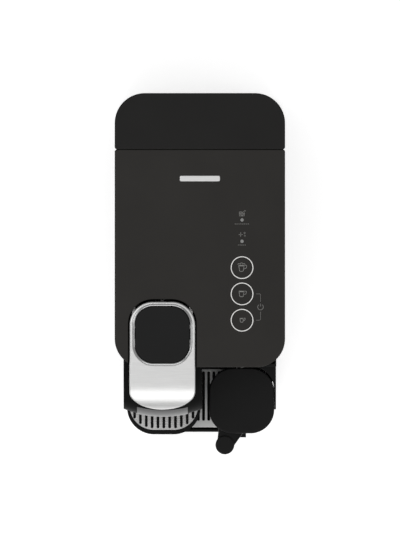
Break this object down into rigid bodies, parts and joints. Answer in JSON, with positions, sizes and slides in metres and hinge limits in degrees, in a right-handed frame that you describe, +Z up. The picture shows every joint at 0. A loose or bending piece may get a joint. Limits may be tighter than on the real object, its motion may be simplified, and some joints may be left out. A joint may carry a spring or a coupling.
{
  "type": "pod coffee machine",
  "caption": "Capsule coffee machine with a lever-driven brew unit, round-cornered body, rear water tank, milk jug with swivelling spout, drip drawer and fold-up cup support",
  "frame": {"origin": "on the table surface, under the middle of the machine's bounding box", "axes": "+Z up, -Y towards the user (cup side), +X to the right as seen by the user"},
  "size_m": [0.153, 0.3252, 0.257],
  "materials": {
    "casing_black": "fine satin",
    "gloss_black": "polished",
    "panel_black": "satin",
    "insert_black": "satin",
    "chrome_satin": "satin chrome plated",
    "steel": "brushed",
    "steel_pin": "ground",
    "clear_black": "smoked",
    "rubber": "matt",
    "seal": "matt",
    "silicone": "matt",
    "white_light": "milky",
    "lens": "milky",
    "jug_clear": "smoked clear",
    "tank_clear": "smoked clear",
    "board_green": "varnished",
    "component": "matt",
    "inner_plastic": "matt",
    "cast_alu": "as cast",
    "bronze": "sintered",
    "white_plastic": "matt"
  },
  "bodies": {
    "machine": {"base_chassis": "casing_black", "rubber_feet": "rubber", "casing_screws": "steel_pin", "outer_shell": "casing_black", "top_panel": "panel_black", "blank_badge": "chrome_satin", "button_light_rings": "white_light", "status_lenses": "lens", "control_board": "board_green", "key_switches": "component", "front_cradle": "gloss_black", "brew_head_cover": "gloss_black", "head_inlay": "chrome_satin", "brew_frame": "inner_plastic", "extraction_plate": "steel", "coffee_outlet": "inner_plastic", "capsule_guide": "inner_plastic", "inlet_manifold": "inner_plastic", "shaft_bushes": "bronze", "tank_dock": "casing_black", "cord_gland": "rubber", "tank_socket": "inner_plastic", "steam_connector": "chrome_satin", "connector_seal": "seal", "thermoblock": "cast_alu", "heater_terminals": "steel_pin", "water_pump": "component", "pump_mounts": "rubber", "flow_meter": "white_plastic", "steam_valve": "bronze", "power_board": "board_green", "board_components": "component", "water_hoses": "silicone"},
    "lever": {"lever_frame": "chrome_satin", "lever_insert": "insert_black", "lever_shaft": "steel_pin", "cam_plates": "steel"},
    "cage": {"capsule_cage": "cast_alu", "piercing_plate": "steel", "cage_pins": "steel_pin"},
    "milk_key": {"milk_button": "gloss_black"},
    "lungo_key": {"lungo_button": "gloss_black"},
    "espresso_key": {"espresso_button": "gloss_black"},
    "tank": {"tank_body": "tank_clear", "tank_valve": "white_plastic", "lid_hinge_pin": "steel_pin"},
    "tank_cover": {"tank_lid": "panel_black"},
    "drip_drawer": {"drip_tray": "casing_black", "drip_grid": "chrome_satin", "capsule_bin": "clear_black"},
    "cup_shelf": {"cup_support": "gloss_black", "cup_grid": "steel", "support_pin": "steel_pin"},
    "jug": {"milk_jug": "jug_clear", "milk_lid_base": "gloss_black", "milk_lid_cap": "insert_black", "lid_gasket": "silicone", "milk_tube": "white_plastic"},
    "spout": {"milk_spout": "gloss_black"}
  },
  "joints": [
    {"name": "lever_hinge", "type": "hinge", "parent": "machine", "child": "lever", "pos_m": [-0.0337, -0.0467, 0.248], "axis": [-1, 0, 0], "range_deg": [0, 58]},
    {"name": "cage_slide", "type": "slide", "parent": "machine", "child": "cage", "axis": [0, 1, 0], "range_m": [0, 0.031]},
    {"name": "milk_press", "type": "slide", "parent": "machine", "child": "milk_key", "axis": [0, 0, -1], "range_m": [0, 0.0008], "stiffness_N_per_m": 250, "springref_m": -0.0004},
    {"name": "lungo_press", "type": "slide", "parent": "machine", "child": "lungo_key", "axis": [0, 0, -1], "range_m": [0, 0.0008], "stiffness_N_per_m": 250, "springref_m": -0.0004},
    {"name": "espresso_press", "type": "slide", "parent": "machine", "child": "espresso_key", "axis": [0, 0, -1], "range_m": [0, 0.0008], "stiffness_N_per_m": 250, "springref_m": -0.0004},
    {"name": "tank_lift", "type": "slide", "parent": "machine", "child": "tank", "axis": [0, 0, 1], "range_m": [0, 0.225]},
    {"name": "tank_lid_hinge", "type": "hinge", "parent": "tank", "child": "tank_cover", "pos_m": [0, 0.1581, 0.2483], "axis": [-1, 0, 0], "range_deg": [0, 90]},
    {"name": "drawer_slide", "type": "slide", "parent": "machine", "child": "drip_drawer", "axis": [0, -1, 0], "range_m": [0, 0.13]},
    {"name": "support_fold", "type": "hinge", "parent": "drip_drawer", "child": "cup_shelf", "pos_m": [-0.0327, -0.0941, 0.0785], "axis": [-1, 0, 0], "range_deg": [0, 85]},
    {"name": "jug_pull", "type": "slide", "parent": "machine", "child": "jug", "axis": [0, -1, 0], "range_m": [0, 0.1]},
    {"name": "spout_swing", "type": "hinge", "parent": "jug", "child": "spout", "pos_m": [0.03765, -0.11415, 0.17], "axis": [0, 0, -1], "range_deg": [0, 36]}
  ],
  "couplings": [
    {"joint": "cage_slide", "follows": "lever_hinge", "m_per_rad": 0.030624}
  ]
}
